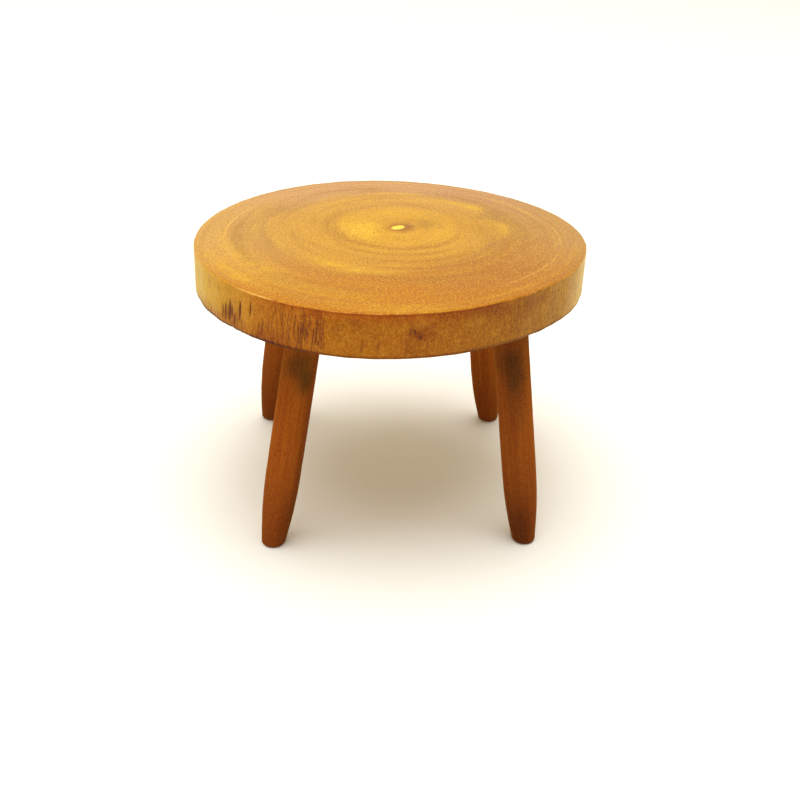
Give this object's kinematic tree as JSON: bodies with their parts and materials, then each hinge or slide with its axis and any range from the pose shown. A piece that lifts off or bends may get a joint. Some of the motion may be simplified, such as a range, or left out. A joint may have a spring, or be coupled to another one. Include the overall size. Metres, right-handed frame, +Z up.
{
  "type": "miniature dining table",
  "caption": "Dolls-house dining table: a thick round cross-cut wood slice on splayed, tapered round legs glued into slanted blind sockets under it.",
  "frame": {"origin": "on the floor, under the middle of the tabletop's outline", "axes": "+Z up, square to the tabletop's face; -Y towards the front, so +X is the table's right seen from the front"},
  "size_m": [0.143, 0.1385, 0.101],
  "materials": {
    "tabletop_wood": "satin",
    "leg_wood": "satin"
  },
  "bodies": {
    "root": {"tabletop": "tabletop_wood", "leg_front_left": "leg_wood", "leg_front_right": "leg_wood", "leg_back_left": "leg_wood", "leg_back_right": "leg_wood"}
  },
  "joints": []
}
